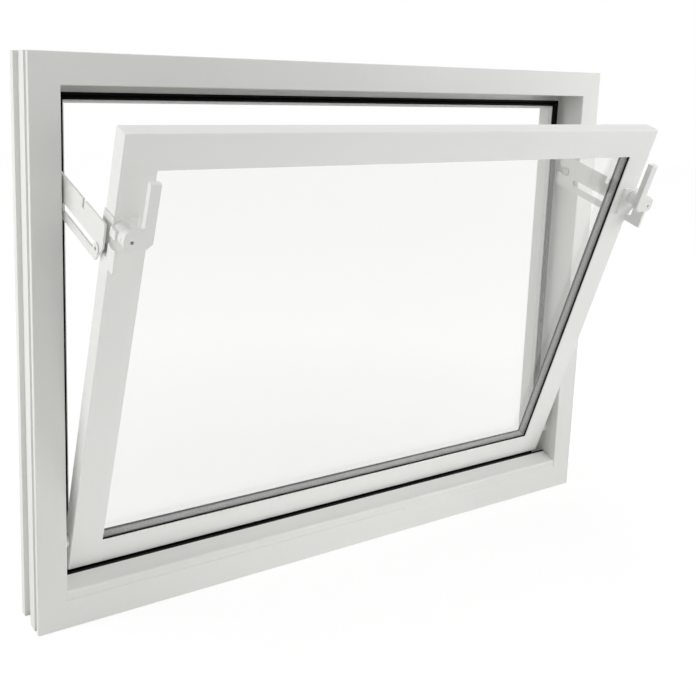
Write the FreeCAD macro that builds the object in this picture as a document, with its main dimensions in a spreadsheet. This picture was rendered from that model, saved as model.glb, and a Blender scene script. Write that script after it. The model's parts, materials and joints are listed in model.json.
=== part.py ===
"""Bottom-hung hopper window of white PVC, 800 by 600 mm, tilted open on two slotted stays.

Millimetres. The origin is the middle of the flat ridge that the frame's sill stands on, +X runs to
the right seen from the room, +Y points outdoors and +Z points up.
"""
import FreeCAD, Part
import math
import os

import Sketcher

V = FreeCAD.Vector
ROOT = "sizes"

doc = FreeCAD.newDocument("hopper_window")
sheet = doc.addObject("Spreadsheet::Sheet", ROOT)


class Size:
    """A length or angle with its value and the text that ties it to the sheet."""

    def __init__(self, value, text):
        self.value = float(value)
        self.text = text

    @staticmethod
    def of(other):
        return other if isinstance(other, Size) else Size(other, repr(float(other)))

    def __add__(self, other):
        other = Size.of(other)
        return Size(self.value + other.value, f"({self.text} + {other.text})")

    def __sub__(self, other):
        other = Size.of(other)
        return Size(self.value - other.value, f"({self.text} - {other.text})")

    def __mul__(self, other):
        other = Size.of(other)
        return Size(self.value * other.value, f"({self.text} * {other.text})")

    def __truediv__(self, other):
        other = Size.of(other)
        return Size(self.value / other.value, f"({self.text} / {other.text})")

    def __neg__(self):
        return Size(-self.value, f"(0 - {self.text})")


ZERO = Size(0, "0")
row_count = 0


def size(alias, value):
    """Writes one driving dimension to the sheet and returns it."""
    global row_count
    row_count += 1
    sheet.set(f"A{row_count}", alias)
    sheet.set(f"B{row_count}", str(value))
    sheet.setAlias(f"B{row_count}", alias)
    return Size(value, f"{ROOT}.{alias}")


# Outer frame: overall size and the section, measured inwards from the outer edge and back from the front
frame_width = size("frame_width", 800)
frame_height = size("frame_height", 600)
frame_depth = size("frame_depth", 60)
frame_face = size("frame_face", 32)
face_round = size("face_round", 1.2)
lip_gap = size("lip_gap", 0.8)
recess_step = size("recess_step", 1.5)
channel_width = size("channel_width", 7)
channel_sink = size("channel_sink", 5.5)
ridge_back = size("ridge_back", 20)
ridge_width = size("ridge_width", 10.5)
rear_step = size("rear_step", 2)
front_groove_start = size("front_groove_start", 5)
front_groove_width = size("front_groove_width", 7)
front_groove_depth = size("front_groove_depth", 3)
wall_groove_start = size("wall_groove_start", 26)
wall_groove_depth = size("wall_groove_depth", 5)
rear_rib = size("rear_rib", 9)
rear_setback = size("rear_setback", 1.5)
rear_setback_depth = size("rear_setback_depth", 5.5)

# Rebate gasket on the ridge of the head and jambs
gasket_width = size("gasket_width", 7.5)
gasket_height = size("gasket_height", 3)

# Sloped sill bead and its gasket
bead_setback = size("bead_setback", 0.8)
bead_nose_rise = size("bead_nose_rise", 9.3)
bead_nose_round = size("bead_nose_round", 3)
bead_lap = size("bead_lap", 5)
bead_height = size("bead_height", 17.6)
sill_gasket_width = size("sill_gasket_width", 4.5)
sill_gasket_height = size("sill_gasket_height", 9)
sill_gasket_proud = size("sill_gasket_proud", 0.6)
sill_gasket_break = size("sill_gasket_break", 0.8)

# Sash: section, the gaps round it and the hinge axis measured from its front bottom edge
sash_top_gap = size("sash_top_gap", 10.8)
stile_face = size("stile_face", 35.8)
bottom_face = size("bottom_face", 32)
sash_lip = size("sash_lip", 1.2)
lip_round = size("lip_round", 0.7)
sash_round = size("sash_round", 1.2)
rebate_width = size("rebate_width", 14)
hinge_rise = size("hinge_rise", 33.8)
hinge_inset = size("hinge_inset", 10.5)
seal_gap = size("seal_gap", 0.5)
foot_gap = size("foot_gap", 1)
open_angle = size("open_angle", 18.4)

# Glazing: front gasket, two panes with their spacer, and the rear bead
glazing_gasket = size("glazing_gasket", 2)
gasket_lean = size("gasket_lean", 0.3)
gasket_seat = size("gasket_seat", 8)
pane_thickness = size("pane_thickness", 3)
pane_gap = size("pane_gap", 8)
pane_edge_gap = size("pane_edge_gap", 4)
spacer_width = size("spacer_width", 6)
rear_bead_depth = size("rear_bead_depth", 3.8)
rear_bead_inset = size("rear_bead_inset", 0.6)
rear_bead_break = size("rear_bead_break", 1.5)

# Hinge pins between the jambs and the stiles
pin_radius = size("pin_radius", 4)
pin_bore_gap = size("pin_bore_gap", 0.3)
pin_bore_depth = size("pin_bore_depth", 12)
pin_collar_radius = size("pin_collar_radius", 7)
pin_end_gap = size("pin_end_gap", 0.5)
pocket_gap = size("pocket_gap", 1.9)
pocket_top_gap = size("pocket_top_gap", 8)

# Slotted stays: plate, its slots and the pins that it runs on
stay_thickness = size("stay_thickness", 2)
stay_tail = size("stay_tail", 14)
stay_above = size("stay_above", 21)
stay_below = size("stay_below", 22)
stay_tip = size("stay_tip", 12.5)
stay_end_drop = size("stay_end_drop", 24)
stay_corner_cut = size("stay_corner_cut", 14)
stay_corner_round = size("stay_corner_round", 3)
slot_offset = size("slot_offset", 9)
slot_spare = size("slot_spare", 4.1)
slot_half_width = size("slot_half_width", 4)
notch_back = size("notch_back", 57)
notch_width = size("notch_width", 6)
notch_depth = size("notch_depth", 9)
stay_fold = size("stay_fold", 72.6)
pivot_radius = size("pivot_radius", 4)
pivot_collar = size("pivot_collar", 7)
pivot_button = size("pivot_button", 5.6)
head_thickness = size("head_thickness", 1.2)
head_break = size("head_break", 0.6)
running_gap = size("running_gap", 0.2)
rivet_radius = size("rivet_radius", 3.6)
rivet_head = size("rivet_head", 6)
rivet_bore = size("rivet_bore", 1.9)
rivet_gap = size("rivet_gap", 0.8)
stud_drop = size("stud_drop", 25.7)
stud_back = size("stud_back", 12.3)
stud_radius = size("stud_radius", 5)
stud_length = size("stud_length", 4)
stud_end_gap = size("stud_end_gap", 0.4)

# Lever latches on the stiles: places measured from the sash's outer edge and its top edge
latch_in = size("latch_in", 6.6)
latch_down = size("latch_down", 91)
plate_width = size("plate_width", 23.5)
plate_top = size("plate_top", 11.4)
plate_bottom = size("plate_bottom", 24)
plate_thickness = size("plate_thickness", 2.5)
plate_round = size("plate_round", 1)
flange_thickness = size("flange_thickness", 1.5)
flange_bottom = size("flange_bottom", 12)
barrel_radius = size("barrel_radius", 8.5)
barrel_gap = size("barrel_gap", 0.3)
lever_back = size("lever_back", 22.2)
lever_thickness = size("lever_thickness", 7.1)
grip_in = size("grip_in", 10.3)
grip_width = size("grip_width", 10.6)
grip_top = size("grip_top", 55.5)
arm_top = size("arm_top", 11)
arm_bottom = size("arm_bottom", 8)
arm_chamfer = size("arm_chamfer", 5)
crook_round = size("crook_round", 4)
lever_round = size("lever_round", 1)
axle_hole_radius = size("axle_hole_radius", 1.8)
nose_gap = size("nose_gap", 0.5)
nose_height = size("nose_height", 9)
nose_length = size("nose_length", 12)
catch_thickness = size("catch_thickness", 3.5)
catch_gap = size("catch_gap", 2.5)
catch_height = size("catch_height", 24)
catch_rear = size("catch_rear", 5)
catch_front_gap = size("catch_front_gap", 0.7)
catch_hollow_radius = size("catch_hollow_radius", 18)
catch_hollow = size("catch_hollow", 2)
catch_foot = size("catch_foot", 8.5)
catch_foot_lap = size("catch_foot_lap", 2.5)
catch_foot_round = size("catch_foot_round", 2)

doc.recompute()

# Sizes that follow from the driving ones
recess_face = frame_face - recess_step
ridge_outer = recess_face + channel_width
ridge_inner = ridge_outer + ridge_width
rear_sight = ridge_inner + rear_step
mitre_reach = rear_sight + rear_step
ridge_depth = frame_depth - ridge_back
channel_depth = ridge_depth + channel_sink
wall_groove_end = frame_depth - rear_setback_depth - rear_rib
bead_top = frame_face + bead_height

# Across the gap beside the sash: the stay's plate between its rivet heads, then the stud on the stile
stay_plate_start = frame_face + rivet_gap + head_thickness + running_gap
plate_end = stay_plate_start + stay_thickness
outer_face = stay_plate_start - running_gap
inner_face = plate_end + running_gap
rivet_tip = inner_face + head_thickness
sash_side_gap = rivet_tip + stud_end_gap + stud_length
sash_width = frame_width - sash_side_gap * 2

# Through the sash's depth
pane_front = sash_lip + glazing_gasket
spacer_front = pane_front + pane_thickness
rear_pane_front = spacer_front + pane_gap
rear_bead_front = rear_pane_front + pane_thickness
sash_depth = rear_bead_front + rear_bead_depth

# The hinge axis: closed, the sash's back stops a seal gap before the gasket, and its foot clears the
# sill seal when its front bottom edge swings below the axis
foot_swing = Size.of(math.hypot(hinge_rise.value, hinge_inset.value)) - hinge_rise
closed_front = ridge_depth - gasket_height - seal_gap - sash_depth
closed_foot = bead_top + sill_gasket_proud + foot_swing + foot_gap
hinge_y = closed_front + hinge_inset
hinge_z = closed_foot + hinge_rise
bead_back = closed_front + bead_lap
sash_height = frame_height - frame_face - sash_top_gap - closed_foot
latch_up = sash_height - latch_down
tilt = math.radians(open_angle.value)
foot_back = (sash_depth - hinge_inset) * math.cos(tilt) + hinge_rise * math.sin(tilt)
pocket_depth = hinge_y + foot_back + pocket_gap

# The stay pivot: with the plate hanging straight down, its slot lies on the stud of the closed sash, and the
# frame's front lip ends just before its collar
stud_y = stud_back - hinge_inset
stud_z = latch_up - stud_drop - hinge_rise
slope = math.radians(90 - stay_fold.value)
stud_open_y = hinge_y.value + stud_y.value * math.cos(tilt) - stud_z.value * math.sin(tilt)
stud_open_z = hinge_z.value + stud_y.value * math.sin(tilt) + stud_z.value * math.cos(tilt)
pivot_depth = hinge_y + stud_y - slot_offset
lip_depth = pivot_depth - pivot_collar - lip_gap
pivot_y = pivot_depth.value
rivet_run = (pivot_y - stud_open_y + slot_offset.value * math.sin(slope)) / math.cos(slope)
pivot_z = stud_open_z + rivet_run * math.sin(slope) + slot_offset.value * math.cos(slope)
closed_run = pivot_z - hinge_z.value - stud_z.value
slot_start = Size.of(closed_run) - slot_spare
slot_end = Size.of(rivet_run)
stay_length = slot_end + stay_tip
notch_place = stay_length - notch_back

# The latch: the lever's nose stops short of the rivet, and the catch lies below the barrel and behind
# the lever
nose_reach = latch_in + sash_side_gap - rivet_tip - nose_gap
catch_top = barrel_radius + catch_gap
catch_reach = lever_back - catch_front_gap

# Axes, the distance within which an edge counts as picked, how many times its thickness a through cut
# is long, and the cosine above which an edge counts as parallel
X_AXIS = V(1, 0, 0)
Y_AXIS = V(0, 1, 0)
Z_AXIS = V(0, 0, 1)
PICK = 0.05
THROUGH = 4
PARALLEL = 0.999
parts = []


def turn(axis, angle):
    return FreeCAD.Rotation(axis, angle)


def place(x, y, z, rotation=FreeCAD.Rotation()):
    return FreeCAD.Placement(V(x, y, z), rotation)


half_width = frame_width.value / 2
seat_middle = (front_groove_start + front_groove_width + wall_groove_start) / 2
ORIGIN = place(0, -seat_middle.value, 0)
HINGE = ORIGIN * place(0, hinge_y.value, hinge_z.value, turn(X_AXIS, open_angle.value))
SASH = HINGE * place(0, -hinge_inset.value, -hinge_rise.value)


def plane(body, role):
    for feature in body.Origin.OriginFeatures:
        if feature.Role == role:
            return feature
    raise ValueError(role)


def new_body(label, placement):
    """Starts a sub-part, which is kept under its own label."""
    body = doc.addObject("PartDesign::Body", label)
    body.Label = label
    body.Placement = placement
    parts.append(body)
    return body


def new_sketch(body, role):
    sketch = body.newObject("Sketcher::SketchObject", body.Name + "_sketch")
    sketch.AttachmentSupport = [(plane(body, role), "")]
    sketch.MapMode = "FlatFace"
    return sketch


def bind(sketch, kind, first, across):
    """Adds one distance from the sketch's origin or a radius, tied to the sheet."""
    if kind == "Radius":
        index = sketch.addConstraint(Sketcher.Constraint(kind, first, across.value))
    else:
        index = sketch.addConstraint(Sketcher.Constraint(kind, -1, 1, first[0], first[1], across.value))
    sketch.setExpression(f"Constraints[{index}]", across.text)


def outline(sketch, points):
    """Draws a closed outline of straight runs through points tied to the sheet."""
    corners = [V(x.value, y.value, 0) for x, y in points]
    first = sketch.GeometryCount
    for index, corner in enumerate(corners):
        sketch.addGeometry(Part.LineSegment(corner, corners[(index + 1) % len(corners)]), False)
    for index, (x, y) in enumerate(points):
        line = first + index
        after = first + (index + 1) % len(points)
        sketch.addConstraint(Sketcher.Constraint("Coincident", line, 2, after, 1))
        bind(sketch, "DistanceX", (line, 1), x)
        bind(sketch, "DistanceY", (line, 1), y)


def circle(sketch, x, y, radius):
    index = sketch.addGeometry(Part.Circle(V(x.value, y.value, 0), Z_AXIS, radius.value), False)
    bind(sketch, "DistanceX", (index, 3), x)
    bind(sketch, "DistanceY", (index, 3), y)
    bind(sketch, "Radius", index, radius)


def slot(sketch, start, end, y, radius):
    """Draws a slot with round ends along the sketch's X axis."""
    low = V(0, -radius.value, 0)
    high = V(0, radius.value, 0)
    left = V(start.value, y.value, 0)
    right = V(end.value, y.value, 0)
    quarter = math.pi / 2
    top = sketch.addGeometry(Part.LineSegment(left + high, right + high), False)
    far_circle = Part.Circle(right, Z_AXIS, radius.value)
    far = sketch.addGeometry(Part.ArcOfCircle(far_circle, -quarter, quarter), False)
    bottom = sketch.addGeometry(Part.LineSegment(right + low, left + low), False)
    near_circle = Part.Circle(left, Z_AXIS, radius.value)
    near = sketch.addGeometry(Part.ArcOfCircle(near_circle, quarter, 3 * quarter), False)
    sketch.addConstraint(Sketcher.Constraint("Tangent", top, 2, far, 2))
    sketch.addConstraint(Sketcher.Constraint("Tangent", far, 1, bottom, 1))
    sketch.addConstraint(Sketcher.Constraint("Tangent", bottom, 2, near, 2))
    sketch.addConstraint(Sketcher.Constraint("Tangent", near, 1, top, 1))
    bind(sketch, "DistanceX", (near, 3), start)
    bind(sketch, "DistanceY", (near, 3), y)
    bind(sketch, "DistanceX", (far, 3), end)
    bind(sketch, "DistanceY", (far, 3), y)
    bind(sketch, "Radius", near, radius)


def extrude(body, kind, sketch, length, symmetric=False, backwards=False):
    """Pads or pockets a sketch by a length tied to the sheet."""
    feature = body.newObject(f"PartDesign::{kind}", f"{body.Name}_{kind.lower()}")
    feature.Profile = sketch
    feature.Length = length.value
    feature.setExpression("Length", length.text)
    if symmetric:
        feature.SideType = "Symmetric"
    feature.Reversed = backwards
    doc.recompute()
    return feature


def cut(body, sketch, length, symmetric=False, backwards=False):
    """Pockets a sketch and makes sure that the pocket took something away."""
    before = body.Shape.Volume
    feature = extrude(body, "Pocket", sketch, length, symmetric, backwards)
    if not body.Shape.Volume < before:
        raise ValueError(f"a pocket of {body.Label} cuts nothing")
    return feature


def bar(label, placement, length, section, corner_runs, rounds=()):
    """Makes one mitred bar of a rectangle's border.

    The bar runs along X with its length centred, its section holds points of depth from the front
    and distance from the outer edge, and corner_runs gives each end's mitre: how far the
    cut runs along the bar for how far it rises, or None for a square end. rounds holds the
    corners of the section that are rounded, each with its radius.
    """
    body = new_body(label, placement)
    sketch = new_sketch(body, "YZ_Plane")
    outline(sketch, section)
    feature = extrude(body, "Pad", sketch, length, symmetric=True)
    for depth, height, radius in rounds:
        feature = round_edges(body, feature, radius, lambda edge: along(edge, X_AXIS) and (
            math.hypot(edge.CenterOfMass.y - depth.value, edge.CenterOfMass.z - height.value) < PICK))
    for side, mitre in zip((-1, 1), corner_runs):
        if mitre is None:
            continue
        run, rise = mitre
        tip = length * (0.5 * side)
        reach = run * mitre_reach / rise
        corner = new_sketch(body, "XZ_Plane")
        outline(corner, [(tip, ZERO), (tip, mitre_reach), (tip - reach * side, mitre_reach)])
        cut(body, corner, frame_depth * THROUGH, symmetric=True)
    return body


def turned(label, placement, rim, bore=ZERO):
    """Makes a round piece along Z from the corners of its rim, each a radius and a height.

    bore is the radius of a hole through its length.
    """
    body = new_body(label, placement)
    sketch = new_sketch(body, "XZ_Plane")
    outline(sketch, [(bore, rim[0][1]), *rim, (bore, rim[-1][1])])
    feature = body.newObject("PartDesign::Revolution", f"{body.Name}_revolution")
    feature.Profile = sketch
    feature.ReferenceAxis = (sketch, ["V_Axis"])
    feature.Angle = 360
    doc.recompute()
    return body


def round_edges(body, feature, radius, chosen):
    """Rounds the edges of a feature that the test chooses."""
    names = [f"Edge{i + 1}" for i, edge in enumerate(feature.Shape.Edges) if chosen(edge)]
    fillet = body.newObject("PartDesign::Fillet", f"{body.Name}_fillet")
    fillet.Base = (feature, names)
    fillet.Radius = radius.value
    fillet.setExpression("Radius", radius.text)
    doc.recompute()
    return fillet


def along(edge, axis):
    """Whether a straight edge runs along an axis."""
    if edge.Curve.TypeId != "Part::GeomLine":
        return False
    return abs(edge.tangentAt(edge.FirstParameter).dot(axis)) > PARALLEL


# The four sides of a border, as placements of bars that run along X with their outer edge down
def border(width, height, origin):
    """The bar placements of a border that stands on its origin, by side."""
    mid = height.value / 2
    side = width.value / 2
    return {
        "sill": origin,
        "head": origin * place(0, 0, height.value, turn(Y_AXIS, 180)),
        "left": origin * place(-side, 0, mid, turn(Y_AXIS, 90)),
        "right": origin * place(side, 0, mid, turn(Y_AXIS, -90)),
    }


# Outer frame
frame_section = [
    (ZERO, ZERO), (ZERO, frame_face), (lip_depth, frame_face), (lip_depth, recess_face),
    (channel_depth, recess_face), (channel_depth, ridge_outer), (ridge_depth, ridge_outer),
    (ridge_depth, ridge_inner), (ridge_depth + rear_step, ridge_inner),
    (ridge_depth + rear_step * 2, rear_sight), (frame_depth, rear_sight), (frame_depth, rear_setback),
    (frame_depth - rear_setback_depth, rear_setback), (frame_depth - rear_setback_depth, ZERO),
    (wall_groove_end, ZERO), (wall_groove_end, wall_groove_depth),
    (wall_groove_start, wall_groove_depth), (wall_groove_start, ZERO),
    (front_groove_start + front_groove_width, ZERO),
    (front_groove_start + front_groove_width, front_groove_depth),
    (front_groove_start, front_groove_depth), (front_groove_start, ZERO),
]
frame_rounds = ((ZERO, ZERO, face_round), (ZERO, frame_face, face_round))
square_mitre = (frame_face, frame_face)
frame_names = {
    "sill": "frame_sill", "head": "frame_head", "left": "frame_left_jamb", "right": "frame_right_jamb",
}
frame_places = border(frame_width, frame_height, ORIGIN)
frame_bodies = {}
for side, label in frame_names.items():
    length = frame_width if side in ("sill", "head") else frame_height
    frame_bodies[side] = bar(label, frame_places[side], length, frame_section, (square_mitre, square_mitre),
                             frame_rounds)

# Pockets in the foot of each jamb, where the sash below its hinge swings back past the ridge
pocket_top = hinge_z + pocket_top_gap
SIDES = (("left", -1), ("right", 1))


def clear_foot(body, sign):
    """Cuts a jamb's bar back from its foot to above the hinge, behind the front lip."""
    sketch = new_sketch(body, "XZ_Plane")
    foot = frame_height * (-0.5 * sign)
    top = foot + pocket_top * sign
    outline(sketch, [(foot, frame_face), (top, frame_face), (top, mitre_reach), (foot, mitre_reach)])
    cut(body, sketch, pocket_depth)


for side, sign in SIDES:
    clear_foot(frame_bodies[side], sign)

# Rebate gasket with a hollowed face that leaves two sealing lips
seal_face = ridge_depth - gasket_height
seal_low = ridge_outer + (ridge_width - gasket_width) / 2
seal_high = seal_low + gasket_width
seal_third = gasket_width / 3
seal_section = [
    (ridge_depth, seal_low), (seal_face, seal_low), (seal_face, seal_low + seal_third),
    (seal_face + gasket_height / 2, seal_low + gasket_width / 2),
    (seal_face, seal_low + seal_third * 2), (seal_face, seal_high), (ridge_depth, seal_high),
]
seal_ends = (square_mitre, square_mitre)
bar("rebate_gasket_head", frame_places["head"], frame_width, seal_section, seal_ends)
for side, sign in SIDES:
    gasket = bar(f"rebate_gasket_{side}", frame_places[side], frame_height, seal_section, seal_ends)
    clear_foot(gasket, sign)

# Sill bead: a clipped-on slope between the jambs, with a rounded nose, and the gasket on its back
bead_length = frame_width - frame_face * 2
bead_nose = frame_face + bead_nose_rise
bead_section = [
    (lip_depth, frame_face), (lip_depth, recess_face), (bead_back, recess_face), (bead_back, bead_top),
    (bead_setback, bead_nose), (bead_setback, frame_face),
]
bar("sill_bead", frame_places["sill"], bead_length, bead_section, (None, None),
    [(bead_setback, bead_nose, bead_nose_round)])
sill_seal_top = bead_top + sill_gasket_proud
sill_seal_end = bead_back + sill_gasket_width
sill_seal_section = [
    (bead_back, sill_seal_top - sill_gasket_height), (bead_back, sill_seal_top),
    (sill_seal_end - sill_gasket_break, sill_seal_top), (sill_seal_end, sill_seal_top - sill_gasket_break),
    (sill_seal_end, sill_seal_top - sill_gasket_height),
]
bar("sill_gasket", frame_places["sill"], bead_length, sill_seal_section, (None, None))

# Sash rails and stiles, with the glazing gasket, spacer and rear bead that follow each of them
sash_names = {"sill": "bottom_rail", "head": "top_rail", "left": "left_stile", "right": "right_stile"}
sash_places = border(sash_width, sash_height, SASH)
stile_mitre = (stile_face, stile_face)
foot_on_rail = (stile_face, bottom_face)
foot_on_stile = (bottom_face, stile_face)
sash_ends = {
    "sill": (foot_on_rail, foot_on_rail),
    "head": (stile_mitre, stile_mitre),
    "left": (stile_mitre, foot_on_stile),
    "right": (foot_on_stile, stile_mitre),
}
sash_bodies = {}
for side, name in sash_names.items():
    length = sash_width if side in ("sill", "head") else sash_height
    face = bottom_face if side == "sill" else stile_face
    rebate = face - rebate_width
    rail_section = [
        (ZERO, ZERO), (ZERO, face), (sash_lip, face), (sash_lip, rebate), (sash_depth, rebate),
        (sash_depth, ZERO),
    ]
    rail_rounds = ((ZERO, ZERO, sash_round), (sash_depth, ZERO, sash_round), (ZERO, face, lip_round))
    ends = sash_ends[side]
    sash_bodies[side] = bar(f"sash_{name}", sash_places[side], length, rail_section, ends, rail_rounds)
    gasket_section = [
        (sash_lip, face - gasket_seat), (sash_lip, face - gasket_lean), (pane_front, face + gasket_lean),
        (pane_front, face - gasket_seat),
    ]
    bar(f"glazing_gasket_{name}", sash_places[side], length, gasket_section, ends)
    spacer_section = [
        (spacer_front, face - spacer_width), (spacer_front, face), (rear_pane_front, face),
        (rear_pane_front, face - spacer_width),
    ]
    bar(f"spacer_{name}", sash_places[side], length, spacer_section, ends)
    bead_edge = face - rear_bead_inset
    bead_section = [
        (rear_bead_front, rebate), (rear_bead_front, bead_edge), (sash_depth - rear_bead_break, bead_edge),
        (sash_depth, bead_edge - rear_bead_break), (sash_depth, rebate),
    ]
    bar(f"glazing_bead_{name}", sash_places[side], length, bead_section, ends)

# Panes
pane_low = bottom_face - rebate_width + pane_edge_gap
pane_side = stile_face - rebate_width + pane_edge_gap
pane_half = sash_width / 2 - pane_side
pane_high = sash_height - pane_side
for label, front in (("inner_pane", pane_front), ("outer_pane", rear_pane_front)):
    body = new_body(label, SASH * place(0, front.value, 0))
    sketch = new_sketch(body, "XZ_Plane")
    outline(sketch, [
        (-pane_half, pane_low), (pane_half, pane_low), (pane_half, pane_high), (-pane_half, pane_high)])
    extrude(body, "Pad", sketch, pane_thickness, backwards=True)

# Bores of the stiles for the hinge pins
for side, sign in SIDES:
    stile = sash_bodies[side]
    bore = new_sketch(stile, "XY_Plane")
    circle(bore, (hinge_rise - sash_height / 2) * sign, hinge_inset, pin_radius + pin_bore_gap)
    cut(stile, bore, pin_bore_depth, backwards=True)


def side_axis(sign):
    """A turn that points local Z from a jamb towards the window's middle."""
    return turn(Y_AXIS, -90 * sign)


# Hinge pins, with a collar that fills the gap beside the sash
for name, sign in SIDES:
    origin = ORIGIN * place(sign * half_width, hinge_y.value, hinge_z.value, side_axis(sign))
    collar_end = sash_side_gap - pin_end_gap
    pin_tip = sash_side_gap + pin_bore_depth - pin_end_gap
    turned(f"{name}_hinge_pin", origin, [
        (pin_collar_radius, recess_face), (pin_collar_radius, collar_end), (pin_radius, collar_end),
        (pin_radius, pin_tip)])

# Stay pivots on the jambs, hollow rivets in the slots and studs on the stiles
rivet_foot = outer_face - head_thickness
head_edge = rivet_tip - head_break
for name, sign in SIDES:
    aim = side_axis(sign)
    turned(f"{name}_stay_pivot", ORIGIN * place(sign * half_width, pivot_y, pivot_z, aim), [
        (pivot_collar, recess_face), (pivot_collar, outer_face), (pivot_radius, outer_face),
        (pivot_radius, inner_face), (pivot_button, inner_face), (pivot_button, head_edge),
        (pivot_button - head_break, rivet_tip)])
    turned(f"{name}_stay_rivet", ORIGIN * place(sign * half_width, stud_open_y, stud_open_z, aim), [
        (rivet_head, rivet_foot), (rivet_head, outer_face), (rivet_radius, outer_face),
        (rivet_radius, inner_face), (rivet_head, inner_face), (rivet_head, head_edge),
        (rivet_head - head_break, rivet_tip)], rivet_bore)
    turned(f"{name}_stay_stud", HINGE * place(sign * half_width, stud_y.value, stud_z.value, aim), [
        (stud_radius, rivet_tip + stud_end_gap), (stud_radius, sash_side_gap)])

# Stay arms: in the plate's own sketch X runs to the tip and Y up, square to the top edge
stay_along = V(0, -math.cos(slope), -math.sin(slope))
stay_up = V(0, -math.sin(slope), math.cos(slope))
stay_turn = FreeCAD.Rotation(stay_along, stay_up, V(), "XYZ")
notch_end = notch_place + notch_width
for name, sign in SIDES:
    edge_x = sign * (half_width - stay_plate_start.value)
    body = new_body(f"{name}_stay_arm", ORIGIN * place(edge_x, pivot_y, pivot_z, stay_turn))
    sketch = new_sketch(body, "XY_Plane")
    outline(sketch, [
        (-stay_tail, -stay_below), (stay_length - stay_corner_cut, -stay_below),
        (stay_length, stay_above - stay_end_drop), (stay_length, stay_above), (notch_end, stay_above),
        (notch_end, stay_above - notch_depth), (notch_place, stay_above - notch_depth),
        (notch_place, stay_above), (-stay_tail, stay_above)])
    pad = extrude(body, "Pad", sketch, stay_thickness, backwards=sign < 0)
    tail_x = -stay_tail.value
    tip_x = stay_length.value - stay_corner_cut.value
    round_edges(body, pad, stay_corner_round, lambda edge: along(edge, Z_AXIS) and (
        edge.CenterOfMass.x < tail_x + PICK or edge.CenterOfMass.x > tip_x - PICK))
    openings = new_sketch(body, "XY_Plane")
    slot(openings, slot_start, slot_end, -slot_offset, slot_half_width)
    slot(openings, -stay_tail * 2, ZERO, ZERO, pivot_radius + pin_bore_gap)
    cut(body, openings, stay_thickness * THROUGH, symmetric=True)

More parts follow.
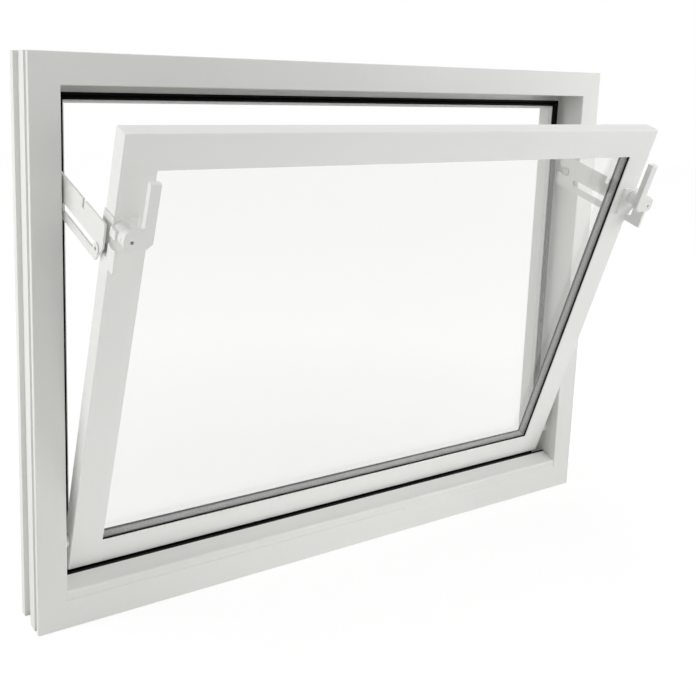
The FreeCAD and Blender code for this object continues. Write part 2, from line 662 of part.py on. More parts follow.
# Lever latches: base plate with its side flange, fixed catch, and the cranked lever on its barrel
grip_far = grip_in + grip_width
barrel_length = lever_back - plate_thickness - barrel_gap
for name, sign in SIDES:
    edge_x = sign * (half_width - sash_side_gap.value)
    corner = SASH * place(edge_x, 0, latch_up.value)
    inward = Size.of(-sign)

    plate = new_body(f"{name}_latch_plate", corner * place(0, 0, -plate_bottom.value))
    profile = new_sketch(plate, "XY_Plane")
    outline(profile, [
        (ZERO, ZERO), (inward * plate_width, ZERO), (inward * plate_width, -plate_thickness),
        (inward * (-flange_thickness), -plate_thickness), (inward * (-flange_thickness), sash_depth),
        (ZERO, sash_depth)])
    angle = extrude(plate, "Pad", profile, plate_top + plate_bottom)
    round_edges(plate, angle, plate_round, lambda edge: along(edge, Z_AXIS) and (
        abs(edge.CenterOfMass.y + plate_thickness.value) < PICK))
    relief = new_sketch(plate, "YZ_Plane")
    relief_back = sash_depth + flange_thickness
    relief_top = plate_bottom - flange_bottom
    outline(relief, [(ZERO, ZERO), (relief_back, ZERO), (relief_back, relief_top), (ZERO, relief_top)])
    cut(plate, relief, flange_thickness * THROUGH, symmetric=True)

    # The catch stands outside the flange, and its thick foot laps onto the side of the stile below it
    catch = new_body(f"{name}_latch_catch", corner)
    catch_low = -catch_top - catch_height
    foot_top = catch_low + catch_foot
    profile = new_sketch(catch, "YZ_Plane")
    outline(profile, [
        (-catch_reach, catch_low), (catch_foot_lap, catch_low), (catch_foot_lap, foot_top),
        (-catch_rear, foot_top), (-catch_rear, -catch_top), (-catch_reach, -catch_top)])
    blade = extrude(catch, "Pad", profile, flange_thickness + catch_thickness, backwards=sign < 0)
    round_edges(catch, blade, catch_foot_round, lambda edge: along(edge, X_AXIS) and (
        math.hypot(edge.CenterOfMass.y - catch_foot_lap.value, edge.CenterOfMass.z - foot_top.value) < PICK))
    hollow = new_sketch(catch, "YZ_Plane")
    hollow_rise = catch_hollow_radius - catch_hollow
    circle(hollow, -(catch_rear + catch_reach) / 2, hollow_rise - catch_top, catch_hollow_radius)
    cut(catch, hollow, frame_depth, symmetric=True)
    thinning = new_sketch(catch, "XY_Plane")
    outline(thinning, [
        (ZERO, ZERO), (-inward * flange_thickness, ZERO), (-inward * flange_thickness, -catch_reach * 2),
        (ZERO, -catch_reach * 2)])
    cut(catch, thinning, frame_height, symmetric=True)

    axle_x = edge_x - sign * latch_in.value
    lever = new_body(f"{name}_lever", SASH * place(axle_x, -lever_back.value, latch_up.value))
    shape = new_sketch(lever, "XZ_Plane")
    outline(shape, [
        (inward * (-arm_bottom), -arm_bottom), (inward * (grip_far - arm_chamfer), -arm_bottom),
        (inward * grip_far, arm_chamfer - arm_bottom), (inward * grip_far, grip_top),
        (inward * grip_in, grip_top), (inward * grip_in, arm_top), (inward * (-arm_bottom), arm_top)])
    arm = extrude(lever, "Pad", shape, lever_thickness)
    boss_x = sign * arm_bottom.value
    crook_x = -sign * grip_in.value
    bossed = round_edges(lever, arm, arm_bottom - lever_round, lambda edge: along(edge, Y_AXIS) and (
        abs(edge.CenterOfMass.x - boss_x) < PICK))
    bent = round_edges(lever, bossed, crook_round, lambda edge: along(edge, Y_AXIS) and (
        math.hypot(edge.CenterOfMass.x - crook_x, edge.CenterOfMass.z - arm_top.value) < PICK))
    round_edges(lever, bent, lever_round, lambda edge: (
        abs(edge.BoundBox.YMax + lever_thickness.value) < PICK))
    barrel = new_sketch(lever, "XZ_Plane")
    circle(barrel, ZERO, ZERO, barrel_radius)
    extrude(lever, "Pad", barrel, barrel_length, backwards=True)
    nose = new_sketch(lever, "XY_Plane")
    outline(nose, [
        (ZERO, barrel_length - nose_length), (inward * (-nose_reach), barrel_length - nose_length),
        (inward * (-nose_reach), barrel_length), (ZERO, barrel_length)])
    extrude(lever, "Pad", nose, nose_height, symmetric=True)
    axle = new_sketch(lever, "XZ_Plane")
    circle(axle, ZERO, ZERO, axle_hole_radius)
    cut(lever, axle, lever_thickness * 2, symmetric=True)

doc.recompute()
for item in doc.Objects:
    if {"Invalid", "Error"} & set(item.State):
        raise ValueError(f"{item.Label} failed: {item.State}")
for body in parts:
    if body.Shape.isNull() or not body.Shape.isValid() or len(body.Shape.Solids) != 1:
        raise ValueError(f"{body.Label} is not one valid solid")

os.makedirs("parts", exist_ok=True)
for body in parts:
    body.Shape.exportStep(f"parts/{body.Label}.step")
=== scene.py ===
"""White PVC hopper window, tilted open: finishes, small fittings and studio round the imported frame.

Lengths are metres in the row frame, or millimetres where a name ends in _mm: +X to the right seen from the
room, +Y outdoors, +Z up.
"""
import json
import logging
import math
from dataclasses import dataclass
from enum import Enum
from functools import cache
from typing import Optional, Union

import bmesh
import bpy
from mathutils import Matrix, Vector


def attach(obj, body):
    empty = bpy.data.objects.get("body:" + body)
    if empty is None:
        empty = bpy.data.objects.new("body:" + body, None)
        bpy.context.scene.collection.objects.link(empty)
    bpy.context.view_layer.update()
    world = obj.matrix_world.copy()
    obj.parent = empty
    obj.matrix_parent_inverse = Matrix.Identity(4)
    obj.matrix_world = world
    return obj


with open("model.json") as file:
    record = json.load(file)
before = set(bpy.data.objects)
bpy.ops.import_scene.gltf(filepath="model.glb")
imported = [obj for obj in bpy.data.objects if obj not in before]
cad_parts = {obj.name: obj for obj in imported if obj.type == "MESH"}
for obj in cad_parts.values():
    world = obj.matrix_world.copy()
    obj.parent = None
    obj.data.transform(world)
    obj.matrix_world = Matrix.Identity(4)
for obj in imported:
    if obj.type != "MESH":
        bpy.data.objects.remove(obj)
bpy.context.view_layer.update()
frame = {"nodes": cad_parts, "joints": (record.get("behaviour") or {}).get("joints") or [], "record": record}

LOG = logging.getLogger("hopper_window")
MM = 0.001
QUARTER_TURN = math.pi / 2
WHITE = "#FFFFFF"
Key = Union[str, int]
Point = tuple[float, float, float]

# Sockets of the Mix node's colour mode, by number because its other modes use the same names
MIX_FACTOR = 0
MIX_A = 6
MIX_B = 7
MIX_RESULT = 2
# How well a face's normal has to agree with a direction that the face points in
ROUGHLY = 0.9
SQUARELY = 0.999
# Faces that meet at less than this angle are shaded as one round surface
SMOOTH_ANGLE = math.radians(35)


class Run(Enum):
    """The way a bar was extruded, which its die lines follow."""

    ACROSS = "across"
    UPRIGHT = "upright"
    TILTED = "tilted"


class Side(Enum):
    """The two sides of the window, as they stand in the names of bodies and joints."""

    LEFT = "left"
    RIGHT = "right"


def joint(name: str) -> dict:
    """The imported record's entry of one joint."""
    return next(entry for entry in frame["joints"] if entry["name"] == name)


def tilt_angle() -> float:
    """The angle, in radians, by which the sash leans into the room at rest."""
    return math.radians(-joint("sash_tilt")["range_deg"][0])


def sash_matrix(hinge_inset_mm: float = 10.5, hinge_rise_mm: float = 33.8) -> Matrix:
    """The sash's own frame: X along its foot, Y back from its front face, Z up from its foot.

    Args:
        hinge_inset_mm: How far behind the sash's front face the hinge axis lies.
        hinge_rise_mm: How far above the sash's foot the hinge axis lies.

    Returns:
        The matrix from the sash's frame to the row frame.
    """
    return (Matrix.Translation(joint("sash_tilt")["pos_m"]) @ Matrix.Rotation(tilt_angle(), 4, "X")
            @ Matrix.Translation((0, -hinge_inset_mm * MM, -hinge_rise_mm * MM)))


def extent(name: str, own: Matrix) -> tuple[Vector, Vector]:
    """The box of a CAD node in another frame than the row frame.

    Args:
        name: The node.
        own: The matrix from that frame to the row frame.

    Returns:
        The box's least and greatest corner.
    """
    back = own.inverted()
    points = [back @ vertex.co for vertex in frame["nodes"][name].data.vertices]
    return (Vector([min(point[axis] for point in points) for axis in range(3)]),
            Vector([max(point[axis] for point in points) for axis in range(3)]))


def linear(hex_colour: str) -> tuple[float, float, float, float]:
    """Turns an sRGB hex colour to linear light, by the straight foot and the power of the sRGB curve.

    Args:
        hex_colour: The colour as #RRGGBB.

    Returns:
        Red, green, blue and an alpha of 1.
    """
    parts = [int(hex_colour[i:i + 2], 16) / 255 for i in (1, 3, 5)]
    red, green, blue = [p / 12.92 if p <= 0.04045 else ((p + 0.055) / 1.055) ** 2.4 for p in parts]
    return red, green, blue, 1.0


def texture_scale(size_mm: float) -> float:
    """The texture scale, per metre, of a pattern whose features are size_mm wide."""
    return 1 / (size_mm * MM)


def add_node(tree: bpy.types.NodeTree, kind: str, settings: Optional[dict[Key, object]] = None,
             links: Optional[dict[Key, bpy.types.NodeSocket]] = None) -> bpy.types.Node:
    """Adds one shader node.

    Args:
        tree: The node tree that takes it.
        kind: Blender's name of the node type.
        settings: Values of its properties and input sockets, by name or by socket number.
        links: Output sockets that feed its inputs, by name or by socket number.

    Returns:
        The new node.
    """
    node = tree.nodes.new(kind)
    # Properties come first, because some of them change which sockets the node has
    for name, value in (settings or {}).items():
        if isinstance(name, str) and hasattr(node, name):
            setattr(node, name, value)
    for name, value in (settings or {}).items():
        if isinstance(name, int) or not hasattr(node, name):
            node.inputs[name].default_value = value
    for name, source in (links or {}).items():
        tree.links.new(source, node.inputs[name])
    return node


@dataclass(frozen=True)
class Finish:
    """One surface finish: the constants that go on the shader's own sockets."""

    name: str
    colour: str
    roughness: float
    ior: float = 1.5
    metallic: float = 0.0
    specular: float = 0.5

    def new_material(self, suffix: str = "") -> tuple[bpy.types.Material, bpy.types.Node]:
        """Makes the material with its shader.

        Args:
            suffix: What its name takes after the finish's own.

        Returns:
            The material and its Principled shader node.
        """
        material = bpy.data.materials.new(self.name + suffix)
        material.use_nodes = True
        material.node_tree.nodes.clear()
        shader = add_node(material.node_tree, "ShaderNodeBsdfPrincipled", {
            "Base Color": linear(self.colour), "Roughness": self.roughness, "IOR": self.ior,
            "Metallic": self.metallic, "Specular IOR Level": self.specular})
        add_node(material.node_tree, "ShaderNodeOutputMaterial", links={"Surface": shader.outputs["BSDF"]})
        return material, shader


@dataclass(frozen=True, kw_only=True)
class PatternedFinish(Finish):
    """A finish whose shade, gloss and relief follow patterns."""

    shade: str
    gloss_range: float
    relief: float

    def follow(self, tree: bpy.types.NodeTree, shader: bpy.types.Node, tone: bpy.types.Node,
               texture: bpy.types.Node, depth_mm: float) -> None:
        """Lets the shade follow one pattern, and gloss and relief another.

        Args:
            tree: The material's node tree.
            shader: Its Principled shader node.
            tone: The noise node that the shade follows.
            texture: The noise node that gloss and relief follow.
            depth_mm: How deep the relief is.
        """
        colour = add_node(tree, "ShaderNodeMix", {
            "data_type": "RGBA", MIX_A: linear(self.colour), MIX_B: linear(self.shade)},
            {MIX_FACTOR: tone.outputs["Fac"]})
        gloss = add_node(tree, "ShaderNodeMapRange", {
            "To Min": self.roughness - self.gloss_range, "To Max": self.roughness + self.gloss_range},
            {"Value": texture.outputs["Fac"]})
        bump = add_node(tree, "ShaderNodeBump", {"Strength": self.relief, "Distance": depth_mm * MM},
                        {"Height": texture.outputs["Fac"]})
        tree.links.new(colour.outputs[MIX_RESULT], shader.inputs["Base Color"])
        tree.links.new(gloss.outputs["Result"], shader.inputs["Roughness"])
        tree.links.new(bump.outputs["Normal"], shader.inputs["Normal"])


@dataclass(frozen=True, kw_only=True)
class ExtrudedFinish(PatternedFinish):
    """An extruded skin: faint die lines along the bar, and a slow drift in shade from batch and handling."""

    gloss_range: float = 0.06
    relief: float = 0.4
    # Real die lines are a few tenths of a millimetre wide; these are drawn coarser, so that they show
    line_mm: float = 2.5
    line_length_mm: float = 900.0
    line_depth_mm: float = 0.02
    line_detail: float = 3.0
    drift_mm: float = 160.0
    drift_detail: float = 2.0

    @cache
    def build_along(self, run: Run) -> bpy.types.Material:
        """Makes the material for bars of one direction, once for all of them.

        Args:
            run: The way the bar was extruded.

        Returns:
            The material, its die lines along that direction.
        """
        material, shader = self.new_material(f"_{run.value}")
        tree = material.node_tree
        turns = {Run.ACROSS: (0.0, 0.0, -QUARTER_TURN), Run.UPRIGHT: (-QUARTER_TURN, 0.0, 0.0),
                 Run.TILTED: (-QUARTER_TURN - tilt_angle(), 0.0, 0.0)}
        place = add_node(tree, "ShaderNodeTexCoord")
        turned = add_node(tree, "ShaderNodeMapping", {"Rotation": turns[run]},
                          {"Vector": place.outputs["Object"]})
        stretch = self.line_mm / self.line_length_mm
        along = add_node(tree, "ShaderNodeMapping", {"Scale": (1.0, stretch, 1.0)},
                         {"Vector": turned.outputs["Vector"]})
        lines = add_node(tree, "ShaderNodeTexNoise", {
            "Scale": texture_scale(self.line_mm), "Detail": self.line_detail},
            {"Vector": along.outputs["Vector"]})
        drift = add_node(tree, "ShaderNodeTexNoise", {
            "Scale": texture_scale(self.drift_mm), "Detail": self.drift_detail},
            {"Vector": place.outputs["Object"]})
        self.follow(tree, shader, drift, lines, self.line_depth_mm)
        return material


@dataclass(frozen=True, kw_only=True)
class GrainedFinish(PatternedFinish):
    """A finish with an even grain: powder coat, enamel, plated or phosphated metal."""

    gloss_range: float = 0.08
    relief: float = 0.5
    grain_mm: float
    grain_depth_mm: float = 0.01
    grain_detail: float = 2.0

    @cache
    def build(self) -> bpy.types.Material:
        """Makes the material once, with its grain in shade, gloss and relief.

        Returns:
            The material.
        """
        material, shader = self.new_material()
        tree = material.node_tree
        place = add_node(tree, "ShaderNodeTexCoord")
        grain = add_node(tree, "ShaderNodeTexNoise", {
            "Scale": texture_scale(self.grain_mm), "Detail": self.grain_detail},
            {"Vector": place.outputs["Object"]})
        self.follow(tree, shader, grain, grain, self.grain_depth_mm)
        return material


@dataclass(frozen=True)
class SpacerFinish(Finish):
    """A matt spacer bar with the row of small breathing holes that dries the air between the panes."""

    # The holes are not cut: each is a dark dot of painted shade, standing in for the shade inside the hole
    hole: str = "#3A3A3A"
    hole_radius_mm: float = 0.45
    hole_edge_mm: float = 0.12
    pitch_mm: float = 5.0
    row_depth_mm: float = 10.2

    def build_along(self, run: Run) -> bpy.types.Material:
        """Makes the material with its holes in a row along the bar, their dark dots painted shade.

        Args:
            run: ACROSS for bars along the sash's foot, TILTED for bars up its stiles.

        Returns:
            The material.
        """
        material, shader = self.new_material(f"_{run.value}")
        tree = material.node_tree
        place = add_node(tree, "ShaderNodeTexCoord")
        at, turn, _ = sash_matrix().decompose()
        own = add_node(tree, "ShaderNodeMapping", {
            "vector_type": "TEXTURE", "Location": at, "Rotation": turn.to_euler()},
            {"Vector": place.outputs["Object"]})
        axes = add_node(tree, "ShaderNodeSeparateXYZ", links={"Vector": own.outputs["Vector"]})
        along = add_node(tree, "ShaderNodeMath", {"operation": "PINGPONG", 1: self.pitch_mm * MM / 2},
                         {0: axes.outputs["X" if run is Run.ACROSS else "Z"]})
        beside = add_node(tree, "ShaderNodeMath", {"operation": "SUBTRACT", 1: self.row_depth_mm * MM},
                          {0: axes.outputs["Y"]})
        offset = add_node(tree, "ShaderNodeCombineXYZ", links={
            "X": along.outputs["Value"], "Y": beside.outputs["Value"]})
        reach = add_node(tree, "ShaderNodeVectorMath", {"operation": "LENGTH"}, {0: offset.outputs["Vector"]})
        solid = add_node(tree, "ShaderNodeMapRange", {
            "From Min": (self.hole_radius_mm - self.hole_edge_mm) * MM,
            "From Max": (self.hole_radius_mm + self.hole_edge_mm) * MM}, {"Value": reach.outputs["Value"]})
        colour = add_node(tree, "ShaderNodeMix", {
            "data_type": "RGBA", MIX_A: linear(self.hole), MIX_B: linear(self.colour)},
            {MIX_FACTOR: solid.outputs["Result"]})
        tree.links.new(colour.outputs[MIX_RESULT], shader.inputs["Base Color"])
        return material


@dataclass(frozen=True)
class FloatGlass(Finish):
    """Float glass: clear, smooth, with the slow roller wave that bends reflections a little."""

    wave_mm: float = 220.0
    wave_depth_mm: float = 0.02
    wave_detail: float = 0.0
    relief: float = 0.2

    def build(self) -> bpy.types.Material:
        """Makes the glass material.

        Returns:
            The material.
        """
        material, shader = self.new_material()
        tree = material.node_tree
        shader.inputs["Transmission Weight"].default_value = 1.0
        place = add_node(tree, "ShaderNodeTexCoord")
        wave = add_node(tree, "ShaderNodeTexNoise", {
            "Scale": texture_scale(self.wave_mm), "Detail": self.wave_detail},
            {"Vector": place.outputs["Object"]})
        bump = add_node(tree, "ShaderNodeBump", {
            "Strength": self.relief, "Distance": self.wave_depth_mm * MM}, {"Height": wave.outputs["Fac"]})
        tree.links.new(bump.outputs["Normal"], shader.inputs["Normal"])
        return material


# Rigid PVC, extruded: a satin, slightly warm white with soft broad highlights and faint streaks along the
# bar. The frame's copy of this white is painted a little darker, as painted shade
FRAME_PVC_PAINTED_DARKER = ExtrudedFinish("extruded_pvc_frame_white_painted_darker", "#ECECE9", roughness=0.36, ior=1.53, shade="#E6E6E3")
# The sash's copy of the same white is painted lighter, as painted light for the floor's bounce on its
# down-leaning face
SASH_PVC_PAINTED_LIGHTER = ExtrudedFinish("extruded_pvc_sash_white_painted_lighter", "#F7F7F5", roughness=0.34, ior=1.53, shade="#F1F1EE")
# EPDM rubber, extruded: deep black and matt, with flow lines along the strip and hardly any sheen
RUBBER = ExtrudedFinish("extruded_epdm_black", "#040404", roughness=0.6, specular=0.08, shade="#070707",
                        line_mm=1.0, line_depth_mm=0.01, gloss_range=0.03)
# Soda-lime float glass: mirror-smooth and almost colourless, each pane dimming what lies behind it a little
GLASS = FloatGlass("float_glass_clear", "#FAFAF9", roughness=0.0, ior=1.52)
# Aluminium spacer, roll-formed and coated: an even matt grey seen through the pane, with a row of fine holes
SPACER = SpacerFinish("coated_aluminium_spacer_grey", "#C8C8C6", roughness=0.6)
# Pressed steel, powder coated: white with a fine orange peel that breaks up highlights
POWDER = GrainedFinish("powder_coated_steel_white", "#F2F2EF", roughness=0.42, shade="#EBEBE8", grain_mm=1.2)
# Zinc casting, enamelled: smooth glossy white, whose slow waves soften reflections
ENAMEL = GrainedFinish("enamelled_casting_white", "#F4F4F2", roughness=0.3, shade="#EFEFEC", grain_mm=4.0,
                       grain_depth_mm=0.004, gloss_range=0.03)
# Turned steel, zinc plated: a cool dull metal with a mottled gloss, drawn coarser than it is so that it shows
ZINC = GrainedFinish("zinc_plated_turned_steel", "#A6A6A4", roughness=0.38, metallic=1.0, shade="#959593",
                     grain_mm=1.5)
# Turned steel, phosphated: a dull dark grey that swallows highlights, so a small screw reads as a dark dot;
# its crystals are drawn coarser than they are, so that they show
PHOSPHATED = GrainedFinish("phosphated_turned_steel", "#3E3E3C", roughness=0.55, specular=0.3,
                           shade="#333331", grain_mm=0.6)


def dress(names: list[str], material: bpy.types.Material) -> None:
    """Gives a material to CAD nodes.

    Args:
        names: The nodes.
        material: What their one slot takes.
    """
    for name in names:
        frame["nodes"][name].data.materials[0] = material
        LOG.info("%s dressed in %s", name, material.name)


def nodes_of_slot(slot: str) -> list[str]:
    """The CAD nodes that take their finish from a slot of the record."""
    return [part["node"] for part in frame["record"]["subparts"] if part["material_slot"] == slot]


def ending(names: list[str], *ends: str) -> list[str]:
    """Those of the names that end in one of the given words."""
    return [name for name in names if name.endswith(ends)]


def dress_by_run(slot: str, upright: Run, finish: Union[ExtrudedFinish, SpacerFinish]) -> None:
    """Dresses a slot's bars so that their pattern runs along each of them.

    Args:
        slot: The record's slot.
        upright: The run of the bars that stand up.
        finish: The finish, which has a material for each run.
    """
    names = nodes_of_slot(slot)
    standing = ending(names, "jamb", "stile")
    dress(standing, finish.build_along(upright))
    dress([name for name in names if name not in standing], finish.build_along(Run.ACROSS))


def select_faces(piece: bpy.types.Object, wanted: Vector, least: float = ROUGHLY) -> None:
    """Selects the faces of the piece in edit mode that point one way.

    Args:
        piece: The piece.
        wanted: The way that the faces point.
        least: How well a normal has to agree with it.
    """
    bpy.ops.mesh.select_all(action="DESELECT")
    bpy.ops.mesh.select_mode(type="FACE")
    mesh = bmesh.from_edit_mesh(piece.data)
    for face in mesh.faces:
        face.select_set(face.normal.dot(wanted) > least)
    bmesh.update_edit_mesh(piece.data)


def settle(piece: bpy.types.Object, place: Matrix, material: bpy.types.Material, body: str) -> None:
    """Puts a modelled piece in its place, with the place in its mesh, and lets it ride.

    Args:
        piece: The piece, modelled at the origin.
        place: The matrix from its own frame to the row frame.
        material: Its finish.
        body: The CAD body that it moves with.
    """
    bpy.ops.object.select_all(action="DESELECT")
    piece.select_set(True)
    bpy.context.view_layer.objects.active = piece
    piece.matrix_world = place
    bpy.ops.object.transform_apply(location=True, rotation=True, scale=True)
    bpy.ops.object.shade_smooth_by_angle(angle=SMOOTH_ANGLE)
    piece.data.materials.clear()
    piece.data.materials.append(material)
    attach(piece, body)
    LOG.info("%s rides on %s", piece.name, body)


@dataclass
class OuterFrame:
    """The fixed frame: head, sill, jambs and sill bead, with the lower run of the rebate seal."""

    seal_length_mm: float = 721.0
    seal_width_mm: float = 7.5
    seal_height_mm: float = 3.0
    seal_lip_mm: float = 2.4
    seal_groove_mm: float = 1.4
    seal_round_mm: float = 0.3
    seal_round_segments: int = 2
    # The ridge's front face, which the seal's back lies on, as Y, and the seal's lower edge as Z
    ridge_front_mm: float = 21.0
    seal_low_mm: float = 39.0

    def build_sill_seal(self) -> None:
        """Models the rebate seal on the sill's ridge: a strip whose hollowed face leaves two sealing lips."""
        front = Vector((0, -1, 0))
        bpy.ops.object.select_all(action="DESELECT")
        bpy.ops.mesh.primitive_cube_add(size=1)
        seal = bpy.context.object
        seal.name = "sill_rebate_seal"
        seal.scale = (self.seal_length_mm * MM, self.seal_height_mm * MM, self.seal_width_mm * MM)
        bpy.ops.object.transform_apply(location=False, rotation=False, scale=True)
        bpy.ops.object.mode_set(mode="EDIT")
        select_faces(seal, front)
        bpy.ops.mesh.bevel(offset=self.seal_round_mm * MM, segments=self.seal_round_segments, affect="EDGES")
        select_faces(seal, front, SQUARELY)
        bpy.ops.mesh.inset(thickness=self.seal_lip_mm * MM)
        bpy.ops.mesh.extrude_region_move(TRANSFORM_OT_translate={"value": (0, self.seal_groove_mm * MM, 0)})
        bpy.ops.object.mode_set(mode="OBJECT")
        place = Matrix.Translation((0, (self.ridge_front_mm - self.seal_height_mm / 2) * MM,
                                    (self.seal_low_mm + self.seal_width_mm / 2) * MM))
        settle(seal, place, RUBBER.build_along(Run.ACROSS), "frame")

    def build(self) -> None:
        """Models what the frame carries beside its CAD nodes."""
        self.build_sill_seal()

    def dress(self) -> None:
        """Lays the PVC's die lines along each bar."""
        dress_by_run("frame_pvc", Run.UPRIGHT, FRAME_PVC_PAINTED_DARKER)


@dataclass
class Sash:
    """The tilted sash: rails, stiles, glazing beads, the sealed panes and the lip seal behind them."""

    lip_width_mm: float = 1.8
    lip_height_mm: float = 1.6
    lip_round_mm: float = 0.9
    lip_round_segments: int = 3

    def bead_opening(self) -> tuple[Vector, Vector]:
        """Finds the opening between the glazing beads, from their CAD nodes.

        Returns:
            Its least and greatest corner in the sash's frame, both on the outer pane's outdoor face.
        """
        own = sash_matrix()
        left = extent("glazing_bead_left_stile", own)[1]
        right = extent("glazing_bead_right_stile", own)[0]
        foot = extent("glazing_bead_bottom_rail", own)[1]
        head = extent("glazing_bead_top_rail", own)[0]
        return Vector((left.x, head.y, foot.z)), Vector((right.x, head.y, head.z))

    def build_rear_lip(self) -> None:
        """Models the rubber lip between the outer pane and the glazing beads: a ring with mitred corners."""
        low, high = self.bead_opening()
        size = high - low
        bpy.ops.object.select_all(action="DESELECT")
        bpy.ops.mesh.primitive_plane_add(size=1, rotation=(-QUARTER_TURN, 0, 0))
        lip = bpy.context.object
        lip.name = "rear_glazing_lip"
        lip.scale = (size.x, size.z, 1)
        bpy.ops.object.transform_apply(location=False, rotation=True, scale=True)
        bpy.ops.object.mode_set(mode="EDIT")
        bpy.ops.mesh.select_all(action="SELECT")
        bpy.ops.mesh.inset(thickness=self.lip_width_mm * MM)
        bpy.ops.mesh.delete(type="FACE")
        bpy.ops.mesh.select_all(action="SELECT")
        bpy.ops.mesh.extrude_region_move(TRANSFORM_OT_translate={"value": (0, self.lip_height_mm * MM, 0)})
        bpy.ops.mesh.select_all(action="SELECT")
        bpy.ops.mesh.normals_make_consistent(inside=False)
        self.select_inner_rim(lip, size / 2)
        bpy.ops.mesh.bevel(offset=self.lip_round_mm * MM, segments=self.lip_round_segments, affect="EDGES")
        bpy.ops.object.mode_set(mode="OBJECT")
        place = sash_matrix() @ Matrix.Translation((low + high) / 2)
        settle(lip, place, RUBBER.build_along(Run.ACROSS), "sash")

    def select_inner_rim(self, lip: bpy.types.Object, half: Vector) -> None:
        """Selects the lip's rear edges round the opening, in edit mode.

        Args:
            lip: The piece.
            half: Half the ring's outer width and height, as X and Z.
        """
        bpy.ops.mesh.select_all(action="DESELECT")
        bpy.ops.mesh.select_mode(type="EDGE")
        mesh = bmesh.from_edit_mesh(lip.data)
        near = self.lip_width_mm * MM / 2
        middle = self.lip_height_mm * MM / 2
        for edge in mesh.edges:
            points = [vertex.co for vertex in edge.verts]
            inside = all(abs(p.x) < half.x - near and abs(p.z) < half.z - near for p in points)
            edge.select_set(inside and all(p.y > middle for p in points))
        bmesh.update_edit_mesh(lip.data)

    def build(self) -> None:
        """Models what the sash carries beside its CAD nodes."""
        self.build_rear_lip()

    def dress(self) -> None:
        """Lays the PVC's die lines along each bar and dresses the glazing."""
        dress_by_run("sash_pvc", Run.TILTED, SASH_PVC_PAINTED_LIGHTER)
        dress_by_run("spacer_bar", Run.TILTED, SPACER)
        dress(nodes_of_slot("pane_glass"), GLASS.build())


@dataclass
class Fittings:
    """Stays, latches, pins and seals, with the screw in each lever's axle."""

    screw_radius_mm: float = 1.7
    screw_length_mm: float = 8.0
    screw_facets: int = 24
    screw_break_mm: float = 0.35
    break_segments: int = 2
    socket_radius_mm: float = 0.95
    socket_depth_mm: float = 1.4
    # How far the lever's front stands before the sash, and how deep the hole in its axle is
    lever_front_mm: float = 29.3
    hole_depth_mm: float = 14.2

    def build_axle_screw(self) -> bpy.types.Object:
        """Models one screw at the origin, its head up: a turned shank with a broken rim and a round socket.

        Returns:
            The screw, not yet in its place.
        """
        up = Vector((0, 0, 1))
        bpy.ops.object.select_all(action="DESELECT")
        bpy.ops.mesh.primitive_cylinder_add(
            vertices=self.screw_facets, radius=self.screw_radius_mm * MM, depth=self.screw_length_mm * MM,
            location=(0, 0, self.screw_length_mm * MM / 2))
        screw = bpy.context.object
        bpy.ops.object.transform_apply(location=True, rotation=True, scale=True)
        bpy.ops.object.mode_set(mode="EDIT")
        select_faces(screw, up)
        bpy.ops.mesh.bevel(offset=self.screw_break_mm * MM, segments=self.break_segments, affect="EDGES")
        select_faces(screw, up, SQUARELY)
        rim_mm = self.screw_radius_mm - self.screw_break_mm - self.socket_radius_mm
        bpy.ops.mesh.inset(thickness=rim_mm * MM)
        bpy.ops.mesh.extrude_region_move(TRANSFORM_OT_translate={"value": (0, 0, -self.socket_depth_mm * MM)})
        bpy.ops.object.mode_set(mode="OBJECT")
        return screw

    def build(self) -> None:
        """Models one axle screw and sets a copy of it in each lever."""
        material = PHOSPHATED.build()
        first = self.build_axle_screw()
        screws = {Side.LEFT: first}
        bpy.ops.object.select_all(action="DESELECT")
        first.select_set(True)
        bpy.context.view_layer.objects.active = first
        bpy.ops.object.duplicate(linked=False)
        screws[Side.RIGHT] = bpy.context.object
        own = sash_matrix()
        for side, screw in screws.items():
            screw.name = f"{side.value}_axle_screw"
            axle = own.inverted() @ Vector(joint(f"{side.value}_lever_turn")["pos_m"])
            foot = Matrix.Translation((axle.x, (self.hole_depth_mm - self.lever_front_mm) * MM, axle.z))
            place = own @ foot @ Matrix.Rotation(QUARTER_TURN, 4, "X")
            settle(screw, place, material, f"{side.value}_lever")

    def dress(self) -> None:
        """Dresses each kind of fitting by its slot."""
        seals = nodes_of_slot("gasket_rubber")
        dress(seals, RUBBER.build_along(Run.ACROSS))
        dress(ending(seals, "stile"), RUBBER.build_along(Run.TILTED))
        dress(ending(seals, "left", "right"), RUBBER.build_along(Run.UPRIGHT))
        for slot, finish in {"stay_steel": POWDER, "latch_white": ENAMEL, "pin_steel": ZINC}.items():
            dress(nodes_of_slot(slot), finish.build())
        dress(ending(nodes_of_slot("pin_steel"), "hinge_pin"), POWDER.build())


@dataclass(frozen=True)
class SoftBox:
    """One square soft box: where it hangs, what it faces, its side, its power and the spread of its grid."""

    name: str
    at: Point
    aim: Point
    size: float
    watts: float
    spread_deg: float = 180.0

    def hang(self) -> None:
        """Hangs the lamp."""
        data = bpy.data.lights.new(self.name, "AREA")
        data.size = self.size
        data.energy = self.watts
        data.spread = math.radians(self.spread_deg)
        lamp = bpy.data.objects.new(self.name, data)
        bpy.context.scene.collection.objects.link(lamp)
        lamp.location = self.at
        lamp.rotation_euler = (Vector(self.aim) - Vector(self.at)).to_track_quat("-Z", "Y").to_euler()


LAMPS = (
    SoftBox("side_softbox", at=(-1.2, 0.3, 0.55), aim=(-0.3, 0, 0.35), size=0.7, watts=4.4),
    SoftBox("left_softbox", at=(-1.5, -0.7, 0.75), aim=(-0.2, 0, 0.3), size=0.8, watts=1.8),
    SoftBox("right_softbox", at=(1.9, -1.4, 0.8), aim=(0.3, 0, 0.3), size=1.6, watts=21.0),
    SoftBox("overhead_softbox", at=(0, -0.1, 2.0), aim=(0, -0.2, 0.3), size=1.4, watts=9.0),
    SoftBox("low_softbox", at=(0.3, -1.9, 0.45), aim=(0, 0, 0.05), size=0.5, watts=0.26, spread_deg=30.0),
)


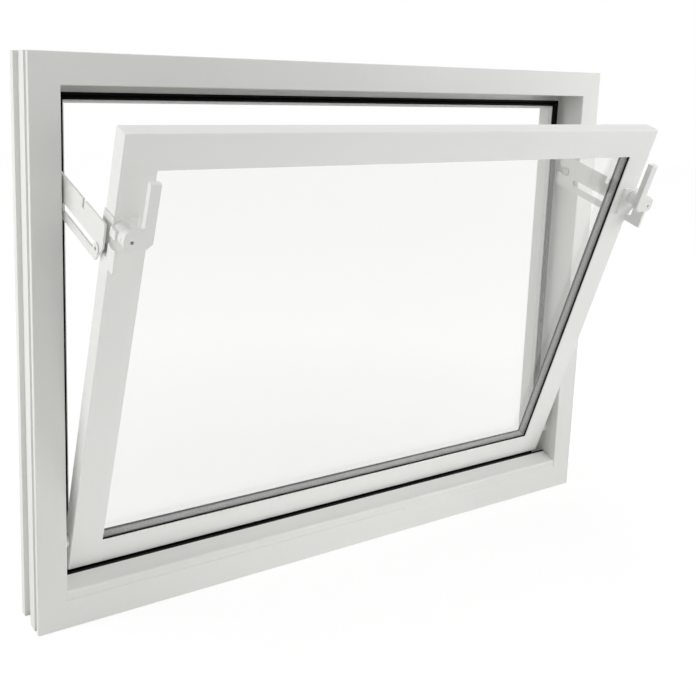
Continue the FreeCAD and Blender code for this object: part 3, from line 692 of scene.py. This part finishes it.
@dataclass
class Studio:
    """Floor, light and camera."""

    ambient: float = 0.37
    ambient_colour: str = "#F7F8F8"
    floor_size: float = 12.0
    floor_colour: str = "#F4F4F2"
    # The white glow's share in what the floor shows, its strength by the frame and far away, and the
    # distances from the middle between which it rises
    floor_share: float = 0.7
    near_glow: float = 1.15
    far_glow: float = 1.285
    shadow_reach: float = 0.35
    white_reach: float = 1.0
    # The camera, in metres, radians and pixels of the photograph's frame
    camera_at: Point = (-0.6826, -0.9194, 0.5789)
    yaw: float = 0.5729
    pitch: float = -0.1758
    roll: float = 0.0283
    focal_px: float = 956.4
    principal_px: tuple[float, float] = (290.0, 250.0)
    image_px: int = 696
    sensor_mm: float = 36.0
    near_clip: float = 0.01

    def place_camera(self) -> None:
        """Puts the camera about where the photograph was taken from, with a moderate shift."""
        data = bpy.data.cameras.new("photo_camera")
        camera = bpy.data.objects.new("photo_camera", data)
        bpy.context.scene.collection.objects.link(camera)
        data.sensor_width = self.sensor_mm
        data.lens = self.focal_px / self.image_px * self.sensor_mm
        data.shift_x = (self.image_px / 2 - self.principal_px[0]) / self.image_px
        data.shift_y = (self.principal_px[1] - self.image_px / 2) / self.image_px
        data.clip_start = self.near_clip
        turn = (Matrix.Rotation(-self.yaw, 3, "Z") @ Matrix.Rotation(QUARTER_TURN + self.pitch, 3, "X")
                @ Matrix.Rotation(self.roll, 3, "Z"))
        camera.location = self.camera_at
        camera.rotation_euler = turn.to_euler()
        bpy.context.scene.camera = camera

    def white_to_camera(self, tree: bpy.types.NodeTree, lit: bpy.types.NodeSocket,
                        white: bpy.types.NodeSocket, share: float = 1.0) -> bpy.types.NodeSocket:
        """Shows white to camera, glossy and transmitted rays, and the lit shader to the others.

        Args:
            tree: The node tree.
            lit: The shader that lights or is lit.
            white: The shader that glows white.
            share: How much of what those rays see is the white glow; the rest is the lit shader.

        Returns:
            The mixed shader.
        """
        path = add_node(tree, "ShaderNodeLightPath")
        seen = add_node(tree, "ShaderNodeMath", {"operation": "ADD"}, {
            0: path.outputs["Is Camera Ray"], 1: path.outputs["Is Glossy Ray"]})
        through = add_node(tree, "ShaderNodeMath", {"operation": "ADD", "use_clamp": True}, {
            0: seen.outputs["Value"], 1: path.outputs["Is Transmission Ray"]})
        part = add_node(tree, "ShaderNodeMath", {"operation": "MULTIPLY", 1: share},
                        {0: through.outputs["Value"]})
        mixed = add_node(tree, "ShaderNodeMixShader", links={0: part.outputs["Value"], 1: lit, 2: white})
        return mixed.outputs["Shader"]

    def light_world(self) -> None:
        """Makes the soft light that comes from all round."""
        world = bpy.data.worlds.new("studio")
        world.use_nodes = True
        bpy.context.scene.world = world
        tree = world.node_tree
        tree.nodes.clear()
        soft = add_node(tree, "ShaderNodeBackground", {
            "Color": linear(self.ambient_colour), "Strength": self.ambient})
        white = add_node(tree, "ShaderNodeBackground", {"Color": linear(WHITE), "Strength": 1.0})
        shown = self.white_to_camera(tree, soft.outputs["Background"], white.outputs["Background"])
        add_node(tree, "ShaderNodeOutputWorld", links={"Surface": shown})

    def lay_floor(self) -> None:
        """Lays the plain pale floor, which glows to read as white and still takes a faint shadow."""
        bpy.ops.object.select_all(action="DESELECT")
        bpy.ops.mesh.primitive_plane_add(size=self.floor_size)
        floor = bpy.context.object
        floor.name = "floor"
        material = bpy.data.materials.new("painted_studio_floor")
        material.use_nodes = True
        tree = material.node_tree
        tree.nodes.clear()
        matt = add_node(tree, "ShaderNodeBsdfDiffuse", {"Color": linear(self.floor_colour)})
        place = add_node(tree, "ShaderNodeTexCoord")
        reach = add_node(tree, "ShaderNodeVectorMath", {"operation": "LENGTH"}, {0: place.outputs["Object"]})
        glow = add_node(tree, "ShaderNodeMapRange", {
            "From Min": self.shadow_reach, "From Max": self.white_reach,
            "To Min": self.near_glow, "To Max": self.far_glow}, {"Value": reach.outputs["Value"]})
        white = add_node(tree, "ShaderNodeEmission", {"Color": linear(WHITE)},
                         {"Strength": glow.outputs["Result"]})
        shown = self.white_to_camera(tree, matt.outputs["BSDF"], white.outputs["Emission"], self.floor_share)
        add_node(tree, "ShaderNodeOutputMaterial", links={"Surface": shown})
        floor.data.materials.append(material)

    def build(self) -> None:
        """Sets up the whole studio."""
        bpy.context.scene.view_settings.view_transform = "Standard"
        self.place_camera()
        self.light_world()
        self.lay_floor()
        for lamp in LAMPS:
            lamp.hang()


def main() -> None:
    """Builds and dresses the window, then sets up the studio."""
    logging.basicConfig(level=logging.INFO, format="%(message)s")
    for assembly in (OuterFrame(), Sash(), Fittings()):
        assembly.build()
        assembly.dress()
    Studio().build()


if __name__ == "__main__":
    main()
